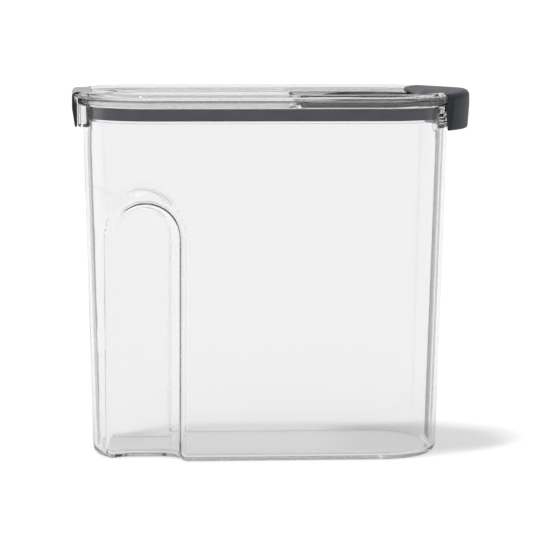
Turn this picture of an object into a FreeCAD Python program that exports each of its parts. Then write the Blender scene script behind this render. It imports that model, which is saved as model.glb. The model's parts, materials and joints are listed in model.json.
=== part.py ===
import FreeCAD, Part
import math
import os

# Cereal container: a clear tub with grip recesses, a clear lid with a flip pour door, and two latches.
# Millimetres. X runs from the handle end (-) to the pour end (+), Y to the back, Z up.
# The origin is the centre of the tub's base, on the surface that it stands on.

Vector = FreeCAD.Vector

# Tub: outside sizes at the mouth, and the walls
tub_length = 235.0
tub_width = 112.0
tub_height = 230.0
tub_end_flat = 22.0
draft_angle = 1.6
wall = 2.3
floor_thickness = 3.0
base_round = 5.0

# Flange round the mouth, and the catch pads under it at both ends
flange_overhang = 4.9
flange_height = 4.7
flange_round = 3.6
pad_proud = 2.9
pad_drop = 13.6
pad_round = 2.4
front_pad_width = 78.0
front_pad_face = 70.0
rear_pad_width = 50.0

# Grip recess, cut into the front and the back near the handle end
grip_width = 42.6
grip_height = 165.0
grip_from_end = 39.2
grip_depth = 17.0
grip_cove = 12.0
grip_edge_round = 6.0

# Lid: raised rim, recessed panel and plug wall
seam_gap = 0.15
seam_bevel = 0.5
rim_height = 4.1
rim_crest = 4.0
rim_width = 13.0
rim_round = 2.6
panel_drop = 4.0
lid_skin = 2.0
plug_wall = 3.2
plug_lip = 1.6

# Rubber seal in a groove round the plug wall
seal_drop = 4.6
seal_height = 8.0
seal_thickness = 2.4
seal_proud = 0.9
seal_gap = 0.25
seat_play = 0.05

# Pour door, its dish and the opening under it
door_hinge_from_end = 96.3
door_drop = 0.2
door_thickness = 2.1
door_edge_gap = 0.4
door_seat_gap = 0.25
door_pin_radius = 1.1
door_knuckle_radius = 2.2
door_pin_bite = 2.8
hinge_relief = 1.7
pour_ledge = 2.9
pour_front_from_end = 83.5
pour_front_bow = 19.35
dish_depth = 5.4
dish_wall = 1.9
dish_flare = 2.6
dish_corner_radius = 9.0
door_seal_thickness = 1.4
door_seal_height = 1.8

# Running clearances
pin_play = 0.05
swing_gap = 0.3
latch_side_gap = 0.5

# Front latch, hinged on the door's free end and bowed in plan
front_latch_width = 76.0
front_latch_reach = 10.1
front_latch_radius = 55.4
front_latch_pin_from_end = 21.0
front_latch_rise = 6.5
front_latch_crown = 2.6
front_latch_fall = 1.8
front_latch_nose = 5.6
front_latch_nose_round = 4.0
front_latch_drop = 19.9
front_latch_taper = 1.0
front_latch_knee = 5.0
front_latch_lean = 1.25
front_latch_wall = 2.6
front_latch_cheek = 3.0
front_latch_round = 4.0
front_latch_edge = 1.2
front_latch_tip_round = 1.8
catch_bar_height = 2.4
catch_bar_drop = 8.6
latch_pin_radius = 0.9
knuckle_wall = 0.85
knuckle_length = 4.0
knuckle_from_middle = 22.0

# Rear latch, let into the rim and hinged behind it
rear_latch_width = 52.0
rear_latch_strap = 1.3
rear_latch_pin_from_foot = 3.6
rear_latch_tip = 1.4
rear_latch_tip_round = 0.45
rear_latch_corner = 5.0
rear_latch_knee = 6.0
rear_latch_round = 3.2
rear_seat_round = 1.8
rear_knuckle_radius = 1.7
rear_pin_radius = 0.85
rear_lug_length = 3.0

# One overrun for all cuts, and how closely an edge has to lie to a place to be picked
overrun = 10.0
pick_tolerance = 0.05

# Levels and outlines worked out from the sizes above
slope = math.tan(math.radians(draft_angle))
half_length = tub_length / 2
half_width = tub_width / 2
tub_corner_radius = half_width - tub_end_flat / 2
flange_low = tub_height - flange_height
pad_low = flange_low - pad_drop

lid_low = tub_height + seam_gap
rim_top = lid_low + rim_height
panel_top = rim_top - panel_drop
panel_low = panel_top - lid_skin
foot_grow = flange_overhang - rim_width
crest_grow = flange_overhang - rim_crest
rim_slope = panel_drop / (crest_grow - foot_grow)

seal_top = tub_height - seal_drop
seal_low = seal_top - seal_height
plug_low = seal_low - plug_lip
seal_grow = -wall - (tub_height - seal_low) * slope - seal_gap
plug_grow = seal_grow - seal_proud
groove_grow = seal_grow - seal_thickness
plug_inner_grow = plug_grow - plug_wall

door_hinge_x = half_length - door_hinge_from_end
door_top = panel_top - door_drop
door_low = door_top - door_thickness
seat_top = door_low - door_seat_gap
seat_low = seat_top - lid_skin
door_pin_z = door_top - door_knuckle_radius
door_grow = foot_grow - door_edge_gap
pour_grow = foot_grow - pour_ledge
bay_top = tub_height - seam_gap
dish_top = door_top - dish_depth
dish_low = dish_top - dish_wall
dish_inset = door_seal_thickness + swing_gap + seat_play
hollow_inset = dish_inset + dish_wall + dish_flare
pour_half_width = half_width + pour_grow
pour_bow_radius = (pour_half_width ** 2 + pour_front_bow ** 2) / (2 * pour_front_bow)
pour_bow_x = half_length - pour_front_from_end + pour_bow_radius

front_latch_pin_x = half_length - front_latch_pin_from_end
knuckle_radius = latch_pin_radius + knuckle_wall
latch_pin_z = door_top + swing_gap + knuckle_radius
front_latch_under = door_top + swing_gap
front_latch_top = door_top + front_latch_rise
front_latch_low = tub_height - front_latch_drop
front_latch_middle_x = half_length + flange_overhang + front_latch_reach - front_latch_radius
bay_half_width = front_latch_width / 2 + latch_side_gap

rear_pin_x = -(half_length + foot_grow + rear_latch_pin_from_foot)
rear_pin_z = rim_top - rear_knuckle_radius
rear_strap_low = rim_top - rear_latch_strap
rear_seat_z = rear_strap_low - swing_gap
rear_notch_half_width = rear_latch_width / 2 + latch_side_gap
rear_ear_half = rear_latch_width / 2 + swing_gap + rear_lug_length


def arc_loop(arcs, height):
    """A closed wire of arcs, each a centre's x and y, a radius, a start and an end angle, joined by lines."""
    edges = []
    for x, y, radius, first, last in arcs:
        circle = Part.Circle(Vector(x, y, height), Vector(0, 0, 1), radius)
        edges.append(Part.ArcOfCircle(circle, first, last).toShape())
    runs = []
    for index, arc in enumerate(edges):
        following = edges[(index + 1) % len(edges)]
        start = arc.valueAt(arc.LastParameter)
        end = following.valueAt(following.FirstParameter)
        runs.append(arc)
        if start.distanceToPoint(end) > pick_tolerance:
            runs.append(Part.LineSegment(start, end).toShape())
    return Part.Wire(runs)


def outline_wire(grow, height):
    """The mouth's rounded rectangle, grown outwards and set at a height."""
    x = half_length - tub_corner_radius
    y = half_width - tub_corner_radius
    radius = tub_corner_radius + grow
    corners = [(x, y), (-x, y), (-x, -y), (x, -y)]
    quarter = math.pi / 2
    return arc_loop([(corner_x, corner_y, radius, index * quarter, (index + 1) * quarter)
                     for index, (corner_x, corner_y) in enumerate(corners)], height)


def corner_x(grow, y):
    """How far out the mouth's outline, grown outwards, runs at a distance from the middle plane."""
    radius = tub_corner_radius + grow
    beside = y - half_width + tub_corner_radius
    return half_length - tub_corner_radius + math.sqrt(radius ** 2 - beside ** 2)


def pour_wire(inset, height):
    """The pour opening's outline, drawn in by an inset: the mouth's pour end with a bowed front edge."""
    end_x = half_length - tub_corner_radius
    end_y = half_width - tub_corner_radius
    end_radius = tub_corner_radius + pour_grow - inset
    bow = pour_bow_radius - inset
    corner = dish_corner_radius + hollow_inset - inset
    turn_y = pour_half_width - inset - corner
    turn_x = pour_bow_x - math.sqrt((bow - corner) ** 2 - turn_y ** 2)
    quarter = math.pi / 2
    turn = math.atan2(turn_y, turn_x - pour_bow_x)
    return arc_loop([
        (end_x, end_y, end_radius, 0, quarter),
        (turn_x, turn_y, corner, quarter, turn),
        (pour_bow_x, 0, bow, turn, 4 * quarter - turn),
        (turn_x, -turn_y, corner, 4 * quarter - turn, 3 * quarter),
        (end_x, -end_y, end_radius, 3 * quarter, 4 * quarter),
    ], height)


def pour_block(inset, low, high):
    """A straight-sided block of the pour opening's outline."""
    return Part.Face(pour_wire(inset, low)).extrude(Vector(0, 0, high - low))


def prism(grow, low, high):
    """A straight-sided block of the mouth's outline."""
    return Part.Face(outline_wire(grow, low)).extrude(Vector(0, 0, high - low))


def taper(low_grow, low, high_grow, high):
    """A block whose outline changes evenly between two heights."""
    return Part.makeLoft([outline_wire(low_grow, low), outline_wire(high_grow, high)], True, True)


def block(x_low, x_high, y_low, y_high, z_low, z_high):
    size = (x_high - x_low, y_high - y_low, z_high - z_low)
    return Part.makeBox(*size, Vector(x_low, y_low, z_low))


def plan_block(corners, low, high):
    """A straight-sided block of a polygon in X and Y."""
    points = [Vector(x, y, low) for x, y in corners]
    return Part.Face(Part.makePolygon(points + points[:1])).extrude(Vector(0, 0, high - low))


def centred_block(x_low, x_high, y_half, z_low, z_high):
    return block(x_low, x_high, -y_half, y_half, z_low, z_high)


def rod(x, z, radius, y_low, y_high):
    """A cylinder along Y."""
    return Part.makeCylinder(radius, y_high - y_low, Vector(x, y_low, z), Vector(0, 1, 0))


def rounded_face(corners, place):
    """A polygon with rounded corners, each two coordinates and a radius, put in space by place."""
    points = [place(first, second) for first, second, radius in corners]
    edges = []
    ends = []
    for index, here in enumerate(points):
        radius = corners[index][2]
        to_before = (points[index - 1] - here).normalize()
        to_after = (points[(index + 1) % len(points)] - here).normalize()
        half_turn = to_before.getAngle(to_after) / 2
        inset = radius / math.tan(half_turn)
        start = here + to_before * inset
        end = here + to_after * inset
        if radius > 0:
            bisector = (to_before + to_after).normalize()
            middle = here + bisector * (radius / math.sin(half_turn) - radius)
            edges.append([Part.Arc(start, middle, end).toShape()])
        else:
            edges.append([])
        ends.append((start, end))
    runs = []
    for index, (start, end) in enumerate(ends):
        following = ends[(index + 1) % len(ends)][0]
        runs += edges[index] + [Part.LineSegment(end, following).toShape()]
    return Part.Face(Part.Wire(runs))


def side_profile(corners, y_half):
    """An extrusion along Y of a rounded polygon in X and Z."""
    face = rounded_face(corners, lambda x, z: Vector(x, -y_half, z))
    return face.extrude(Vector(0, 2 * y_half, 0))


def end_profile(corners, x_low, x_high):
    """An extrusion along X of a rounded polygon in Y and Z."""
    face = rounded_face(corners, lambda y, z: Vector(x_low, y, z))
    return face.extrude(Vector(x_high - x_low, 0, 0))


def edges_where(shape, test):
    """The edges of a shape whose middle point passes a test."""
    chosen = []
    for edge in shape.Edges:
        middle = edge.valueAt((edge.FirstParameter + edge.LastParameter) / 2)
        if test(middle):
            chosen.append(edge)
    return chosen


def meeting_edges(shape, first, second, above):
    """The edges of a shape, above a height, where the skins of two solids meet."""
    def on_both(point):
        vertex = Part.Vertex(point)
        skins = [solid.Shells[0].distToShape(vertex)[0] for solid in (first, second)]
        return max(skins) < pick_tolerance and point.z > above + pick_tolerance
    return edges_where(shape, on_both)


def near(a, b):
    return abs(a - b) < pick_tolerance


def grip_tool(grow):
    """An arch-topped block with a coved floor, leaning with the tub's front, for the front recess."""
    half = grip_width / 2 + grow
    middle_x = grip_from_end - half_length
    spring = grip_height - grip_width / 2
    low = -overrun
    outer_y = -half_width - overrun
    floor_y = -(half_width - tub_height * slope) + grip_depth + grow
    left = Vector(middle_x - half, outer_y, low)
    right = Vector(middle_x + half, outer_y, low)
    left_spring = Vector(middle_x - half, outer_y, spring)
    right_spring = Vector(middle_x + half, outer_y, spring)
    crown = Vector(middle_x, outer_y, spring + half)
    arch = Part.Wire([
        Part.LineSegment(left, right).toShape(),
        Part.LineSegment(right, right_spring).toShape(),
        Part.Arc(right_spring, crown, left_spring).toShape(),
        Part.LineSegment(left_spring, left).toShape(),
    ])
    tool = Part.Face(arch).extrude(Vector(0, floor_y - outer_y, 0))
    floor_edges = edges_where(tool, lambda p: near(p.y, floor_y) and not near(p.z, low))
    tool = tool.makeFillet(grip_cove + grow, floor_edges)
    tool.rotate(Vector(0, floor_y, 0), Vector(1, 0, 0), draft_angle)
    return tool


def both_sides(shape):
    """A shape and its mirror image across the middle plane."""
    return [shape, shape.mirror(Vector(0, 0, 0), Vector(0, 1, 0))]


def gripped(block, grow, low):
    """A tapered block with both grip recesses cut into it, and with its recess edges and its base rounded."""
    shape = block
    for tool in both_sides(grip_tool(grow)):
        shape = shape.cut(tool)
        shape = shape.makeFillet(grip_edge_round - grow, meeting_edges(shape, block, tool, low))
    return shape.makeFillet(base_round - grow, edges_where(shape, lambda p: near(p.z, low)))


def make_tub():
    body = gripped(taper(-tub_height * slope, 0, 0, tub_height), 0, 0)
    hollow_top = tub_height + overrun
    floor_grow = -wall - (tub_height - floor_thickness) * slope
    hollow = taper(floor_grow, floor_thickness, -wall + overrun * slope, hollow_top)
    hollow = gripped(hollow, wall, floor_thickness)

    flange = prism(flange_overhang, flange_low, tub_height)
    flange = flange.makeFillet(flange_round, edges_where(flange, lambda p: near(p.z, flange_low)))
    flange = flange.makeChamfer(seam_bevel, edges_where(flange, lambda p: near(p.z, tub_height)))
    pad_face_x = half_length + pad_proud
    far_x = pad_face_x + overrun
    front_notch = centred_block(0, far_x, bay_half_width, flange_low - overrun, hollow_top)
    front_notch = front_notch.cut(prism(pad_proud, flange_low - overrun, hollow_top))
    rear_notch = centred_block(-far_x, -pad_face_x, rear_notch_half_width, flange_low - overrun, hollow_top)
    flange = flange.cut([front_notch, rear_notch])

    front_pad = prism(pad_proud, pad_low, tub_height)
    front_pad = front_pad.makeFillet(pad_round, edges_where(front_pad, lambda p: near(p.z, pad_low)))
    inside_x = half_length - tub_corner_radius
    fade_y = front_pad_width / 2
    fade_x = corner_x((pad_low - tub_height) * slope, fade_y)
    face_y = front_pad_face / 2
    face_x = corner_x(pad_proud, face_y)
    half_plan = [(inside_x, fade_y), (fade_x, fade_y), (face_x, face_y), (far_x, face_y)]
    plan = half_plan + [(x, -y) for x, y in reversed(half_plan)]
    front_pad = front_pad.common(plan_block(plan, pad_low, tub_height))
    rear_pad = centred_block(-pad_face_x, -inside_x, rear_pad_width / 2, pad_low, tub_height)
    rear_pad = rear_pad.makeFillet(
        pad_round, edges_where(rear_pad, lambda p: near(p.x, -pad_face_x) and not near(p.z, tub_height)))

    return body.fuse([flange, front_pad, rear_pad]).cut(hollow).removeSplitter()


def make_lid():
    rim = prism(flange_overhang, lid_low, rim_top)
    rim = rim.makeFillet(rim_round, edges_where(rim, lambda p: near(p.z, rim_top)))
    rim = rim.makeChamfer(seam_bevel, edges_where(rim, lambda p: near(p.z, lid_low)))
    top_grow = crest_grow + overrun / rim_slope
    rim = rim.cut(taper(foot_grow, panel_top, top_grow, rim_top + overrun))

    # Hollow under the rim's shell
    shell_top = rim_top - lid_skin
    shell_grow = flange_overhang - lid_skin
    shift = lid_skin * math.sqrt(1 + rim_slope ** 2) / rim_slope
    inner_low = foot_grow + (lid_low - panel_top) / rim_slope + shift
    inner_high = foot_grow + (shell_top - panel_top) / rim_slope + shift
    core = taper(inner_low, lid_low, inner_high, shell_top)
    shell = prism(shell_grow, lid_low - overrun, shell_top)
    shell = shell.makeFillet(rim_round - lid_skin, edges_where(shell, lambda p: near(p.z, shell_top)))
    rear_fill = centred_block(-half_length - overrun, 0, rear_ear_half, lid_low - overrun, rim_top)
    rim = rim.cut(shell.cut([core, rear_fill]))

    plug = prism(plug_grow, plug_low, panel_top)
    plug = plug.cut(prism(plug_inner_grow, plug_low, panel_low))
    step_x = door_hinge_x - door_knuckle_radius - swing_gap
    seat_area = centred_block(step_x - lid_skin, half_length, half_width, seat_low, panel_top)
    seat_plate = prism(plug_grow, seat_low, panel_low).common(seat_area)
    trough_radius = door_knuckle_radius + swing_gap
    trough = rod(door_hinge_x, door_pin_z, trough_radius + lid_skin, -half_width, half_width)
    trough = trough.common(prism(plug_grow, seat_low - overrun, panel_low))
    lugs = [rear_lug(side) for side in (-1, 1)]
    lid = rim.fuse([plug, seat_plate, trough] + lugs)

    # Recess for the door, its hinge trough and the pour opening
    recess = prism(foot_grow, seat_top, rim_top)
    recess = recess.common(centred_block(door_hinge_x, half_length, half_width, seat_top, rim_top))
    trough_cut = rod(door_hinge_x, door_pin_z, trough_radius, -half_width - foot_grow, half_width + foot_grow)
    throat = side_profile([
        (step_x, door_pin_z, 0),
        (door_hinge_x, door_pin_z, 0),
        (door_hinge_x, rim_top, 0),
        (step_x - hinge_relief, rim_top, 0),
        (step_x - hinge_relief, panel_top, 0),
    ], half_width + foot_grow)
    opening = pour_block(0, seat_low - overrun, seat_top + overrun)
    bay = centred_block(half_length - tub_corner_radius, half_length + overrun + flange_overhang,
                        bay_half_width, bay_top, rim_top + overrun)

    # Groove for the seal, holes for the hinge pins, and the rear latch's pocket and seat
    groove = prism(plug_grow + overrun, seal_low - seat_play, seal_top + seat_play)
    groove = groove.cut(prism(groove_grow - seat_play, seal_low - overrun, seal_top + overrun))
    pin_half = half_width + foot_grow + door_pin_bite
    door_pin_hole = rod(door_hinge_x, door_pin_z, door_pin_radius + pin_play, -pin_half - pin_play,
                        pin_half + pin_play)
    pocket_radius = rear_knuckle_radius + swing_gap
    pocket = centred_block(rear_pin_x - pocket_radius, rear_pin_x + pocket_radius,
                           rear_latch_width / 2 + swing_gap, rear_pin_z - pocket_radius, rim_top + overrun)
    rear_end = half_length + flange_overhang
    rear_seat = centred_block(-rear_end - overrun, rear_pin_x, rear_latch_width / 2 + swing_gap,
                              lid_low - overrun, rim_top + overrun)
    rear_seat = rear_seat.cut(side_profile([
        (-rear_end, rear_seat_z, rear_seat_round),
        (-rear_end, lid_low - overrun, 0),
        (rear_pin_x, lid_low - overrun, 0),
        (rear_pin_x, rear_seat_z, 0),
    ], rear_ear_half))
    rear_pin_hole = rod(rear_pin_x, rear_pin_z, rear_pin_radius + pin_play, -rear_ear_half - overrun,
                        rear_ear_half + overrun)
    return lid.cut([recess, trough_cut, throat, opening, bay, groove, door_pin_hole, pocket,
                    rear_seat, rear_pin_hole]).removeSplitter()


def rear_lug(side):
    """One of the two ears on the lid's panel that hold the rear latch's pin."""
    near_y = rear_latch_width / 2 + swing_gap
    ear = block(rear_pin_x - rear_knuckle_radius, rear_pin_x + rear_knuckle_radius, near_y, rear_ear_half,
                lid_low, rear_pin_z)
    ear = ear.fuse(rod(rear_pin_x, rear_pin_z, rear_knuckle_radius, near_y, rear_ear_half))
    return ear if side > 0 else ear.mirror(Vector(0, 0, 0), Vector(0, 1, 0))


def make_lid_seal():
    ring = prism(seal_grow, seal_low, seal_top)
    return ring.cut(prism(groove_grow, seal_low - overrun, seal_top + overrun))


def make_pour_door():
    span = half_width + door_grow
    plate = prism(door_grow, door_low, door_top)
    plate = plate.common(centred_block(door_hinge_x, half_length, half_width, door_low, door_top))
    knuckle = rod(door_hinge_x, door_pin_z, door_knuckle_radius, -span, span)
    dish = pour_block(dish_inset, dish_low, door_low)
    door = plate.fuse([knuckle, dish])

    hollow = pour_block(hollow_inset, dish_top, door_top)
    floor_edges = edges_where(hollow, lambda p: near(p.z, dish_top))
    hollow = hollow.makeFillet(dish_depth - pick_tolerance, floor_edges)
    flare = Part.makeLoft([pour_wire(hollow_inset, door_top - dish_flare),
                           pour_wire(hollow_inset - dish_flare, door_top)], True, True)
    door = door.cut([hollow, flare])

    for middle_y in (-knuckle_from_middle, knuckle_from_middle):
        door = door.fuse(front_lug(middle_y))
    door_pin_hole = rod(door_hinge_x, door_pin_z, door_pin_radius + pin_play, -span, span)
    latch_pin_hole = rod(front_latch_pin_x, latch_pin_z, latch_pin_radius + pin_play, -span, span)
    return door.cut([door_pin_hole, latch_pin_hole]).removeSplitter()


def front_lug(middle_y):
    """One of the door's two knuckles for the front latch, on a post that rises from the dish."""
    y_low = middle_y - knuckle_length / 2
    y_high = middle_y + knuckle_length / 2
    foot = block(front_latch_pin_x - knuckle_radius, front_latch_pin_x + knuckle_radius, y_low, y_high,
                 dish_low, latch_pin_z)
    return foot.fuse(rod(front_latch_pin_x, latch_pin_z, knuckle_radius, y_low, y_high))


def make_pour_door_seal():
    outer_inset = swing_gap
    inner_inset = outer_inset + door_seal_thickness
    top = door_low - seat_play
    low = top - door_seal_height
    return pour_block(outer_inset, low, top).cut(pour_block(inner_inset, low - overrun, top + overrun))


def latch_bow(shrink, low):
    """The front latch's bowed outside as a turned shape, drawn in by a wall."""
    knee = tub_height - front_latch_knee
    high = front_latch_top + overrun
    radius = front_latch_radius - shrink
    tip_radius = radius - front_latch_taper * (knee - low) / (knee - front_latch_low)
    section = Part.makePolygon([
        Vector(0, 0, low),
        Vector(-tip_radius, 0, low),
        Vector(-radius, 0, knee),
        Vector(-radius, 0, high),
        Vector(0, 0, high),
        Vector(0, 0, low),
    ])
    bow = Part.Face(section).revolve(Vector(0, 0, 0), Vector(0, 0, 1), 360)
    bow.translate(Vector(front_latch_middle_x, 0, 0))
    return bow


def latch_side(back_x, drop, low, y_half):
    """The front latch seen from the side: a nose that climbs from the hinge, and an open top."""
    outer_x = half_length + flange_overhang + front_latch_reach + overrun
    nose_rate = (front_latch_top - latch_pin_z - knuckle_radius) / front_latch_nose
    back_top = latch_pin_z + knuckle_radius - drop + nose_rate * (back_x - front_latch_pin_x)
    high = front_latch_top + overrun
    return side_profile([
        (back_x, low, 0),
        (outer_x, low, 0),
        (outer_x, high, 0),
        (back_x + (high - back_top) / nose_rate, high, 0),
        (back_x, back_top, 0),
    ], y_half)


def latch_crown(back_x, drop, low, y_half):
    """The front latch's top seen from its end: highest in the middle, and lower towards the outside."""
    crest_x = front_latch_pin_x + front_latch_nose
    end_x = half_length + flange_overhang + front_latch_reach
    fall_rate = front_latch_fall / (end_x - crest_x)
    half = front_latch_width / 2
    radius = (half ** 2 + front_latch_crown ** 2) / (2 * front_latch_crown)
    top = front_latch_top - drop + fall_rate * (crest_x - back_x)
    side_top = top - radius + math.sqrt(radius ** 2 - y_half ** 2)
    left = Vector(back_x, -y_half, side_top)
    right = Vector(back_x, y_half, side_top)
    left_foot = Vector(back_x, -y_half, low)
    right_foot = Vector(back_x, y_half, low)
    section = Part.Wire([
        Part.Arc(left, Vector(back_x, 0, top), right).toShape(),
        Part.LineSegment(right, right_foot).toShape(),
        Part.LineSegment(right_foot, left_foot).toShape(),
        Part.LineSegment(left_foot, left).toShape(),
    ])
    run = end_x + overrun - back_x
    return Part.Face(section).extrude(Vector(run, 0, -fall_rate * run))


def latch_block(back_x, shrink, drop, low, y_half):
    """The front latch as one full block: its bow, its side and its crown together."""
    shape = latch_bow(shrink, low).common(latch_side(back_x, drop, low, y_half))
    return shape.common(latch_crown(back_x, drop, low - overrun, y_half))


def make_front_latch():
    half = front_latch_width / 2
    below = front_latch_low - overrun
    shape = latch_block(front_latch_pin_x, 0, 0, front_latch_low, half)
    pad_grow = pad_proud + swing_gap
    shape = shape.cut(prism(pad_grow, below, front_latch_under))
    shape = shape.cut(taper(pad_grow + front_latch_lean, front_latch_low, pad_grow, flange_low))

    # Rounded outside: the nose and the long top edge first, then the tip and the ends
    crest_x = front_latch_pin_x + front_latch_nose
    nose_edge = edges_where(shape, lambda p: near(p.y, 0) and near(p.x, crest_x) and p.z > tub_height)
    shape = shape.makeFillet(front_latch_nose_round, nose_edge)
    end_x = front_latch_middle_x + front_latch_radius
    top_edge = edges_where(shape, lambda p: near(p.y, 0) and near(p.x, end_x) and p.z > tub_height)
    shape = shape.makeFillet(front_latch_round, top_edge)
    tip_x = end_x - front_latch_taper
    tip_edge = edges_where(shape, lambda p: near(p.y, 0) and near(p.x, tip_x) and near(p.z, front_latch_low))
    shape = shape.makeFillet(front_latch_tip_round, tip_edge)
    pad_x = half_length + pad_proud
    end_edges = edges_where(shape, lambda p: near(abs(p.y), half) and p.x > front_latch_pin_x + knuckle_radius
                            and (p.z > front_latch_under + knuckle_radius or p.x > pad_x - flange_overhang))
    shape = shape.makeFillet(front_latch_edge, end_edges)

    # Hollow behind the outside wall, with the catch bar left across it
    hollow_back = front_latch_pin_x + knuckle_radius + front_latch_wall
    hollow = latch_block(hollow_back, front_latch_wall, front_latch_wall, below, half - front_latch_cheek)
    bar_top = tub_height - catch_bar_drop
    far_x = end_x + overrun
    bar = centred_block(hollow_back, far_x, half, bar_top - catch_bar_height, bar_top)
    shape = shape.cut(hollow.cut(bar))

    # Hinge barrel, with gaps for the door's knuckles
    barrel = rod(front_latch_pin_x, latch_pin_z, knuckle_radius, -half, half)
    shape = shape.fuse(barrel)
    gap_half = knuckle_length / 2 + swing_gap
    gap_radius = knuckle_radius + swing_gap
    for middle_y in (-knuckle_from_middle, knuckle_from_middle):
        y_low = middle_y - gap_half
        y_high = middle_y + gap_half
        round_gap = rod(front_latch_pin_x, latch_pin_z, gap_radius, y_low, y_high)
        foot_gap = block(front_latch_pin_x - gap_radius, front_latch_pin_x + gap_radius, y_low, y_high,
                         front_latch_under - swing_gap, latch_pin_z)
        shape = shape.cut([round_gap, foot_gap])
    shape = shape.cut(rod(front_latch_pin_x, latch_pin_z, latch_pin_radius + pin_play, -half, half))
    return shape.removeSplitter()


def make_rear_latch():
    half = rear_latch_width / 2
    lid_end = half_length + flange_overhang
    leg_in = lid_end + swing_gap
    leg_out = leg_in + rear_latch_strap
    lip_in = half_length + pad_proud + swing_gap
    shape = side_profile([
        (rear_pin_x, rim_top, 0),
        (rear_pin_x, rear_strap_low, 0),
        (-leg_in, rear_strap_low, rear_seat_round),
        (-leg_in, lid_low, 0),
        (-lip_in, lid_low, 0),
        (-lip_in, pad_low, rear_latch_tip_round),
        (-lip_in - rear_latch_tip, pad_low, rear_latch_tip_round),
        (-leg_out, lid_low - rear_latch_knee, rear_latch_round),
        (-leg_out, rim_top, rear_latch_round),
    ], half)

    shape = shape.common(end_profile([
        (-half, pad_low, rear_latch_corner),
        (half, pad_low, rear_latch_corner),
        (half, rim_top + overrun, 0),
        (-half, rim_top + overrun, 0),
    ], -leg_out - overrun, rear_pin_x))

    # The lip keeps clear of the lid's lower edge while the latch swings
    swing_radius = math.hypot(lid_end + rear_pin_x, rear_pin_z - lid_low) + swing_gap
    sweep = rod(rear_pin_x, rear_pin_z, swing_radius, -half, half)
    shape = shape.cut(sweep.common(centred_block(-lid_end - overrun, rear_pin_x, half, pad_low, lid_low)))
    shape = shape.fuse(rod(rear_pin_x, rear_pin_z, rear_knuckle_radius, -half, half))
    shape = shape.cut(rod(rear_pin_x, rear_pin_z, rear_pin_radius + pin_play, -half, half))
    return shape.removeSplitter()


def make_pins():
    door_half = half_width + foot_grow + door_pin_bite
    front_half = knuckle_from_middle + knuckle_length
    return {
        "pour_door_pin": rod(door_hinge_x, door_pin_z, door_pin_radius, -door_half, door_half),
        "front_latch_pin": rod(front_latch_pin_x, latch_pin_z, latch_pin_radius, -front_half, front_half),
        "rear_latch_pin": rod(rear_pin_x, rear_pin_z, rear_pin_radius, -rear_ear_half, rear_ear_half),
    }


parts = {
    "tub": make_tub(),
    "lid": make_lid(),
    "lid_seal": make_lid_seal(),
    "pour_door": make_pour_door(),
    "pour_door_seal": make_pour_door_seal(),
    "front_latch": make_front_latch(),
    "rear_latch": make_rear_latch(),
}
parts.update(make_pins())

os.makedirs("parts", exist_ok=True)
for name, shape in parts.items():
    print(name, "valid", shape.isValid(), "solids", len(shape.Solids), "volume", round(shape.Volume))
    shape.exportStep("parts/" + name + ".step")
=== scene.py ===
import json
import math

import bpy
from mathutils import Matrix, Vector


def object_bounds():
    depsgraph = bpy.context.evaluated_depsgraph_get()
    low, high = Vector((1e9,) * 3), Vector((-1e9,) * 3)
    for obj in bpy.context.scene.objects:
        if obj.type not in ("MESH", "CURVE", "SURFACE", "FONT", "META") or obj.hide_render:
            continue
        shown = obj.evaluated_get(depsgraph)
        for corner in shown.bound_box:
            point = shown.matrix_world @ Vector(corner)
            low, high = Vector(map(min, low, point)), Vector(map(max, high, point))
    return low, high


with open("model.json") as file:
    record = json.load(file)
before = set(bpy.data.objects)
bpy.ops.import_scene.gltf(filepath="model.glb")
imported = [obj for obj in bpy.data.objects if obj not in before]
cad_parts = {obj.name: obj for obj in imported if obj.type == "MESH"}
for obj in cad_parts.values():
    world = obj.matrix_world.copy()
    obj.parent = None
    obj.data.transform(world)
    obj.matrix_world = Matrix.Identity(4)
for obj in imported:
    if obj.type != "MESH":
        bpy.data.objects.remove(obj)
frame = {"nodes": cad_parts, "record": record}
cad_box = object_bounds()

# Camera: a long lens left of the middle and a little above the lid, in metres, degrees and pixels
IMAGE_SIDE_PX = 533
FOCAL_PX = 2762.8
SENSOR_MM = 36.0
EYE = Vector((-0.12372, -1.77703, 0.341485))
PAN_DEG = 4.034
TILT_DEG = 7.114
ROLL_DEG = 0.204

# Noise of all finishes: its detail, and the part of its range that is spread over the levels asked for
NOISE_DETAIL = 3.0
NOISE_SPAN = (0.3, 0.7)

# Clear plastic: scale and levels of its roughness, scale and depth of its skin, what shadows and volume take
CLEAR_ROUGH = (30.0, 0.002, 0.008)
CLEAR_SKIN = (16.0, 0.000002)
CLEAR_IOR = 1.5
CLEAR_TO_SHADOW = (0.9, 0.9, 0.9, 1.0)
CLEAR_VOLUME = (0.62, 0.63, 0.63, 1.0)
CLEAR_DENSITY = 6.0

# Clear plastic on the tub's inside: painted shade, the share of its colour kept by how much the ray grazes
# it, which draws a dark edge line
PAINTED_EDGE_SHADE_SHARES = [(0.75, 0.985), (0.79, 0.01)]

# Tub: the painted shade that darkens its floor, and where its inside has no painted dark edge: beside the
# grips, in the base round
BASE_PAINTED_SHADE = (0.55, 0.55, 0.55, 1.0)
GRIP_SPAN = (-0.106, -0.05)
BASE_ROUND_TOP = 0.012

# Seam between lid and tub: its bevelled faces, by height and by how far their normals lean, and the painted
# shade that draws a dark line on them
SEAM_HEIGHTS = (0.2295, 0.2307)
SEAM_LEAN = (0.6, 0.8)
SEAM_PAINTED_SHADE = (0.06, 0.057, 0.055, 1.0)

# How faces are told apart: normals that point up, normals of level faces, and heights that count as one
UPWARD = 0.9
LEVEL = 0.9999
SAME_LEVEL = 0.0001

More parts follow.
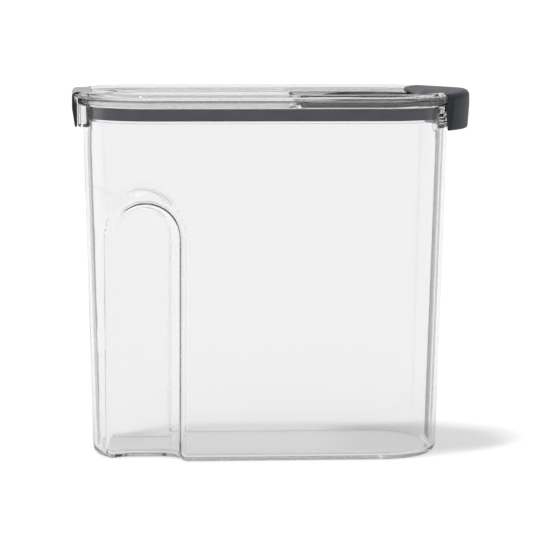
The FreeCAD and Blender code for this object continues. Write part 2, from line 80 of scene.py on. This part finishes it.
# Solid finishes: scale and colours of the tint, scale and levels of roughness, skin's scale and depth
SOLID_FINISHES = {
    "grey_plastic": {
        "tint": (60.0, (0.024, 0.029, 0.04), (0.03, 0.035, 0.046)),
        "rough": (45.0, 0.18, 0.26),
        "skin": (1500.0, 0.000005),
        "gloss": 0.35,
    },
    "seal_rubber": {
        "tint": (120.0, (0.05, 0.053, 0.073), (0.06, 0.063, 0.083)),
        "rough": (90.0, 0.52, 0.68),
        "skin": (900.0, 0.00001),
        "gloss": 0.5,
    },
    "hinge_rod": {
        "tint": (300.0, (0.055, 0.057, 0.061), (0.066, 0.068, 0.072)),
        "rough": (400.0, 0.28, 0.42),
        "skin": (2500.0, 0.00001),
        "gloss": 0.5,
    },
}

# Matt faces: how much rougher they are, and how near to level a face of each piece may be and be matt
MATT_ROUGHER = 0.26
MATT_LEVEL = {"front_latch": 1.1, "pour_door": 0.9}

# Floor: its size, gap and colour, and its glow to the camera, through clear plastic and in mirrors
FLOOR_HALF = 20.0
FLOOR_GAP = 0.0002
FLOOR_ALBEDO = 0.8
FLOOR_LIFT = 0.43
FLOOR_THROUGH = 0.3
FLOOR_MIRRORED = 0.22
FLOOR_DIM_REACH = 0.3

# Sky: its light and lean, how dim its right side is in gloss, and its colour by the sine of its height
WORLD_LIGHT = 0.5
WORLD_LEAN = (-0.25, -0.42, 0.0)
GLOSS_RIGHT = 0.25
GLOSS_RIGHT_SPAN = (0.2, 0.9)
STUDIO_SHARES = [
    (0.0, (1.0, 0.997, 0.99)),
    (0.3, (1.0, 0.997, 0.99)),
    (0.5, (0.66, 0.66, 0.66)),
    (0.86, (0.62, 0.62, 0.63)),
    (0.92, (1.0, 1.0, 1.0)),
]

# Keys: their direction over the floor, their heights, strength and angle
KEY_BEARING = (-0.77, -0.64)
KEY_HEIGHTS_DEG = [76.0, 79.0, 82.0]
KEY_STRENGTH = 0.43
KEY_ANGLE_DEG = 4.0

# Light paths: how often light may pass through or bounce in the clear walls
CLEAR_BOUNCES = 64
OTHER_BOUNCES = 32


def make_camera():
    """The photograph's camera, aimed by pan, tilt and roll."""
    pan, tilt, roll = (math.radians(a) for a in (PAN_DEG, TILT_DEG, ROLL_DEG))
    ahead = Vector((math.sin(pan) * math.cos(tilt), math.cos(pan) * math.cos(tilt), -math.sin(tilt)))
    across = Vector((math.cos(pan), -math.sin(pan), 0))
    up = across.cross(ahead)
    rolled_across = across * math.cos(roll) + up * math.sin(roll)
    rolled_up = up * math.cos(roll) - across * math.sin(roll)
    data = bpy.data.cameras.new("photo_camera")
    data.sensor_fit = "HORIZONTAL"
    data.sensor_width = SENSOR_MM
    data.lens = FOCAL_PX / IMAGE_SIDE_PX * SENSOR_MM
    data.clip_end = 4 * FLOOR_HALF
    camera = bpy.data.objects.new("photo_camera", data)
    turn = Matrix((rolled_across, rolled_up, -ahead)).transposed().to_4x4()
    camera.matrix_world = Matrix.Translation(EYE) @ turn
    bpy.context.collection.objects.link(camera)
    bpy.context.scene.camera = camera


def feed(tree, value, socket):
    """Link a socket to another one, or set it to a plain value."""
    if isinstance(value, bpy.types.NodeSocket):
        tree.links.new(value, socket)
    else:
        socket.default_value = value


def calculate(tree, operation, *values):
    """A Math node's result."""
    node = tree.nodes.new("ShaderNodeMath")
    node.operation = operation
    for value, socket in zip(values, node.inputs):
        feed(tree, value, socket)
    return node.outputs[0]


def map_range(tree, value, source, target):
    """A value moved from one range to another."""
    node = tree.nodes.new("ShaderNodeMapRange")
    node.inputs["From Min"].default_value, node.inputs["From Max"].default_value = source
    node.inputs["To Min"].default_value, node.inputs["To Max"].default_value = target
    feed(tree, value, node.inputs["Value"])
    return node.outputs["Result"]


def ramp(tree, value, stops):
    """A colour by a value, from stops that each have a place and a colour."""
    node = tree.nodes.new("ShaderNodeValToRGB")
    elements = node.color_ramp.elements
    elements.remove(elements[1])
    for index, (place, colour) in enumerate(stops):
        stop = elements[0] if index == 0 else elements.new(place)
        stop.position = place
        stop.color = (*colour, 1)
    feed(tree, value, node.inputs["Fac"])
    return node.outputs["Color"]


def mix_colours(tree, share, first, second):
    """The first colour, or the second where the share is one."""
    node = tree.nodes.new("ShaderNodeMix")
    node.data_type = "RGBA"
    factor = node.inputs[0]
    first_colour, second_colour = node.inputs[6:8]
    feed(tree, share, factor)
    feed(tree, first, first_colour)
    feed(tree, second, second_colour)
    return node.outputs[2]


def mix_shaders(tree, share, first, second):
    """The first shader, or the second where the share is one."""
    node = tree.nodes.new("ShaderNodeMixShader")
    for value, socket in zip((share, first, second), node.inputs):
        tree.links.new(value, socket)
    return node.outputs["Shader"]


def face_value(tree, name):
    """A value that the faces carry, zero on pieces without it."""
    node = tree.nodes.new("ShaderNodeAttribute")
    node.attribute_name = name
    return node.outputs["Fac"]


def wander(tree, scale, low, high):
    """A value that wanders between two levels over the surface."""
    place = tree.nodes.new("ShaderNodeTexCoord")
    noise = tree.nodes.new("ShaderNodeTexNoise")
    noise.inputs["Scale"].default_value = scale
    noise.inputs["Detail"].default_value = NOISE_DETAIL
    tree.links.new(place.outputs["Object"], noise.inputs["Vector"])
    return map_range(tree, noise.outputs["Fac"], NOISE_SPAN, (low, high))


def raise_skin(tree, shader, scale, depth):
    """Small rises of the moulded skin, so many to a metre and so many metres high."""
    bump = tree.nodes.new("ShaderNodeBump")
    bump.inputs["Strength"].default_value = 1.0
    bump.inputs["Distance"].default_value = depth
    tree.links.new(wander(tree, scale, 0.0, 1.0), bump.inputs["Height"])
    tree.links.new(bump.outputs["Normal"], shader.inputs["Normal"])


def new_material(name):
    """An empty node material with a Principled shader and an output."""
    material = bpy.data.materials.new(name)
    material.use_nodes = True
    nodes = material.node_tree.nodes
    nodes.clear()
    output = nodes.new("ShaderNodeOutputMaterial")
    shader = nodes.new("ShaderNodeBsdfPrincipled")
    material.node_tree.links.new(shader.outputs["BSDF"], output.inputs["Surface"])
    return material, shader, output


def clear_plastic():
    """Clear plastic, with painted shade: dark at the edge of the tub's inside and at the seam, darker on the
    tub's floor.
    """
    material, shader, output = new_material("clear_plastic")
    tree = material.node_tree
    # Painted shade: the colour of the tub's inside goes dark where the ray grazes it, drawing a dark edge
    # line
    facing = tree.nodes.new("ShaderNodeLayerWeight").outputs["Facing"]
    grazing = calculate(tree, "MULTIPLY", facing, face_value(tree, "inside"))
    edge = ramp(tree, grazing, [(place, (share, share, share)) for place, share in PAINTED_EDGE_SHADE_SHARES])
    # Painted shade: the tub's floor is darker, for the shade under and through the tub
    tinted = mix_colours(tree, face_value(tree, "base"), edge, BASE_PAINTED_SHADE)
    # Painted shade: the seam's bevelled faces are dark, for the shadow in the gap
    shaded = mix_colours(tree, face_value(tree, "seam"), tinted, SEAM_PAINTED_SHADE)
    tree.links.new(shaded, shader.inputs["Base Color"])
    shader.inputs["Transmission Weight"].default_value = 1.0
    shader.inputs["IOR"].default_value = CLEAR_IOR
    tree.links.new(wander(tree, *CLEAR_ROUGH), shader.inputs["Roughness"])
    raise_skin(tree, shader, *CLEAR_SKIN)
    path = tree.nodes.new("ShaderNodeLightPath").outputs
    passing = calculate(tree, "MAXIMUM", path["Is Shadow Ray"], path["Is Diffuse Ray"])
    clear = tree.nodes.new("ShaderNodeBsdfTransparent")
    clear.inputs["Color"].default_value = CLEAR_TO_SHADOW
    surface = mix_shaders(tree, passing, shader.outputs["BSDF"], clear.outputs["BSDF"])
    tree.links.new(surface, output.inputs["Surface"])
    absorb = tree.nodes.new("ShaderNodeVolumeAbsorption")
    absorb.inputs["Color"].default_value = CLEAR_VOLUME
    absorb.inputs["Density"].default_value = CLEAR_DENSITY
    tree.links.new(absorb.outputs["Volume"], output.inputs["Volume"])
    return material


def solid_finish(name, finish):
    """A tinted solid with a fine skin, rougher where its faces are matt."""
    material, shader, output = new_material(name)
    tree = material.node_tree
    scale, first, second = finish["tint"]
    colour = ramp(tree, wander(tree, scale, 0.0, 1.0), [(0.0, first), (1.0, second)])
    tree.links.new(colour, shader.inputs["Base Color"])
    own = wander(tree, *finish["rough"])
    rough = calculate(tree, "MULTIPLY_ADD", face_value(tree, "matt"), MATT_ROUGHER, own)
    tree.links.new(rough, shader.inputs["Roughness"])
    shader.inputs["Specular IOR Level"].default_value = finish["gloss"]
    raise_skin(tree, shader, *finish["skin"])
    return material


def dress_nodes():
    """Every solid takes the finish that the record names for its slot."""
    finishes = {name: solid_finish(name, finish) for name, finish in SOLID_FINISHES.items()}
    finishes["clear_plastic"] = clear_plastic()
    for row in frame["record"]["subparts"]:
        node = frame["nodes"][row["node"]]
        node.data.materials.clear()
        node.data.materials.append(finishes[row["material_slot"]])


def mark_faces():
    """Give the faces the values that the finishes read."""
    # The seam's bevelled faces carry the painted dark seam line
    for name in ("tub", "lid"):
        mesh = frame["nodes"][name].data
        seam = mesh.attributes.new("seam", "FLOAT", "FACE")
        for face in mesh.polygons:
            at_seam = SEAM_HEIGHTS[0] < face.center.z < SEAM_HEIGHTS[1]
            leans = SEAM_LEAN[0] < abs(face.normal.z) < SEAM_LEAN[1]
            if at_seam and leans:
                seam.data[face.index].value = 1.0
    for name, level in MATT_LEVEL.items():
        mesh = frame["nodes"][name].data
        matt = mesh.attributes.new("matt", "FLOAT", "FACE")
        for face in mesh.polygons:
            if abs(face.normal.z) < level:
                matt.data[face.index].value = 1.0
    tub = frame["nodes"]["tub"].data
    tub.attributes.new("inside", "FLOAT", "FACE")
    tub.attributes.new("base", "FLOAT", "FACE")
    # Fetched only now, because a new attribute can move those made before it
    inside = tub.attributes["inside"]
    base = tub.attributes["base"]
    # Inside faces above the base round carry the painted dark edge, except beside the grips; level floor
    # faces carry the painted floor shade
    for index in inside_faces(tub):
        face = tub.polygons[index]
        beside_grip = GRIP_SPAN[0] < face.center.x < GRIP_SPAN[1]
        if face.center.z > BASE_ROUND_TOP:
            inside.data[index].value = 0.0 if beside_grip else 1.0
        elif face.normal.z > LEVEL:
            base.data[index].value = 1.0


def inside_faces(mesh):
    """The faces of an open tub's inside: all that join its floor without crossing the rim of its mouth."""
    def corners(face):
        return {tuple(round(c, 6) for c in mesh.vertices[index].co) for index in face.vertices}

    mouth = max(vertex.co.z for vertex in mesh.vertices)
    touching = {}
    for face in mesh.polygons:
        for corner in corners(face):
            touching.setdefault(corner, []).append(face.index)
    floor = min((face for face in mesh.polygons if face.normal.z > UPWARD), key=lambda face: face.center.z)
    found = {floor.index}
    waiting = [floor.index]
    while waiting:
        for corner in corners(mesh.polygons[waiting.pop()]):
            for index in touching[corner]:
                face = mesh.polygons[index]
                if index not in found and (face.center.z < mouth - SAME_LEVEL or face.normal.z < UPWARD):
                    found.add(index)
                    waiting.append(index)
    return found


def make_floor():
    """A white floor that keeps the shadow. In front it is dim to mirrors, as a room before a table is."""
    corners = [(-1, -1), (1, -1), (1, 1), (-1, 1)]
    mesh = bpy.data.meshes.new("floor")
    mesh.from_pydata([(x * FLOOR_HALF, y * FLOOR_HALF, 0) for x, y in corners], [], [(0, 1, 2, 3)])
    floor = bpy.data.objects.new("floor", mesh)
    floor.location.z = cad_box[0][2] - FLOOR_GAP
    bpy.context.collection.objects.link(floor)
    material, shader, output = new_material("white_floor")
    tree = material.node_tree
    shader.inputs["Base Color"].default_value = (FLOOR_ALBEDO, FLOOR_ALBEDO, FLOOR_ALBEDO, 1)
    shader.inputs["Roughness"].default_value = 1.0
    shader.inputs["Specular IOR Level"].default_value = 0.0
    path = tree.nodes.new("ShaderNodeLightPath").outputs
    seen = calculate(tree, "MULTIPLY", path["Is Camera Ray"], FLOOR_LIFT)
    lift = calculate(tree, "MULTIPLY_ADD", path["Is Transmission Ray"], FLOOR_THROUGH, seen)
    glow = tree.nodes.new("ShaderNodeEmission")
    tree.links.new(lift, glow.inputs["Strength"])
    lit = tree.nodes.new("ShaderNodeAddShader")
    tree.links.new(shader.outputs["BSDF"], lit.inputs[0])
    tree.links.new(glow.outputs["Emission"], lit.inputs[1])
    place = tree.nodes.new("ShaderNodeNewGeometry")
    split = tree.nodes.new("ShaderNodeSeparateXYZ")
    tree.links.new(place.outputs["Position"], split.inputs[0])
    reach = (-FLOOR_DIM_REACH, FLOOR_DIM_REACH)
    behind = map_range(tree, split.outputs["Y"], reach, (FLOOR_MIRRORED, 1.0))
    mirrored = tree.nodes.new("ShaderNodeEmission")
    tree.links.new(behind, mirrored.inputs["Strength"])
    bounced = calculate(tree, "SUBTRACT", path["Is Glossy Ray"], path["Is Transmission Ray"])
    bounced.node.use_clamp = True
    surface = mix_shaders(tree, bounced, lit.outputs["Shader"], mirrored.outputs["Emission"])
    tree.links.new(surface, output.inputs["Surface"])
    mesh.materials.append(material)


def make_world():
    """White to the camera, a studio with a bright horizon and a soft box overhead in glass and gloss."""
    world = bpy.data.worlds.new("studio")
    world.use_nodes = True
    bpy.context.scene.world = world
    tree = world.node_tree
    nodes = tree.nodes
    nodes.clear()
    output = nodes.new("ShaderNodeOutputWorld")
    white = nodes.new("ShaderNodeBackground")
    white.inputs["Strength"].default_value = 1.0
    direction = nodes.new("ShaderNodeTexCoord").outputs["Generated"]
    split = nodes.new("ShaderNodeSeparateXYZ")
    tree.links.new(direction, split.inputs[0])
    path = nodes.new("ShaderNodeLightPath").outputs
    lean = nodes.new("ShaderNodeVectorMath")
    lean.operation = "DOT_PRODUCT"
    lean.inputs[1].default_value = WORLD_LEAN
    tree.links.new(direction, lean.inputs[0])
    light = nodes.new("ShaderNodeBackground")
    level = calculate(tree, "ADD", lean.outputs["Value"], WORLD_LIGHT)
    tree.links.new(level, light.inputs["Strength"])
    studio = nodes.new("ShaderNodeBackground")
    tree.links.new(ramp(tree, split.outputs["Z"], STUDIO_SHARES), studio.inputs["Color"])
    right = map_range(tree, split.outputs["X"], GLOSS_RIGHT_SPAN, (1.0, GLOSS_RIGHT))
    strength = calculate(tree, "MAXIMUM", right, path["Is Transmission Ray"])
    tree.links.new(strength, studio.inputs["Strength"])
    shiny = calculate(tree, "MAXIMUM", path["Is Transmission Ray"], path["Is Glossy Ray"])
    unseen = mix_shaders(tree, shiny, light.outputs["Background"], studio.outputs["Background"])
    whole = mix_shaders(tree, path["Is Camera Ray"], unseen, white.outputs["Background"])
    tree.links.new(whole, output.inputs["Surface"])


def make_keys():
    """High keys, one above the other, left of and in front of the object: a shadow sharp along its side."""
    for index, height in enumerate(KEY_HEIGHTS_DEG):
        rise = math.tan(math.radians(height))
        data = bpy.data.lights.new(f"key_{index}", "SUN")
        data.energy = KEY_STRENGTH
        data.angle = math.radians(KEY_ANGLE_DEG)
        key = bpy.data.objects.new(f"key_{index}", data)
        key.rotation_euler = (-Vector((*KEY_BEARING, rise))).to_track_quat("-Z", "Y").to_euler()
        bpy.context.collection.objects.link(key)


make_camera()
dress_nodes()
mark_faces()
make_floor()
make_world()
make_keys()

scene = bpy.context.scene
scene.view_settings.view_transform = "Standard"
scene.cycles.max_bounces = CLEAR_BOUNCES
scene.cycles.transmission_bounces = CLEAR_BOUNCES
scene.cycles.glossy_bounces = OTHER_BOUNCES
scene.cycles.transparent_max_bounces = OTHER_BOUNCES
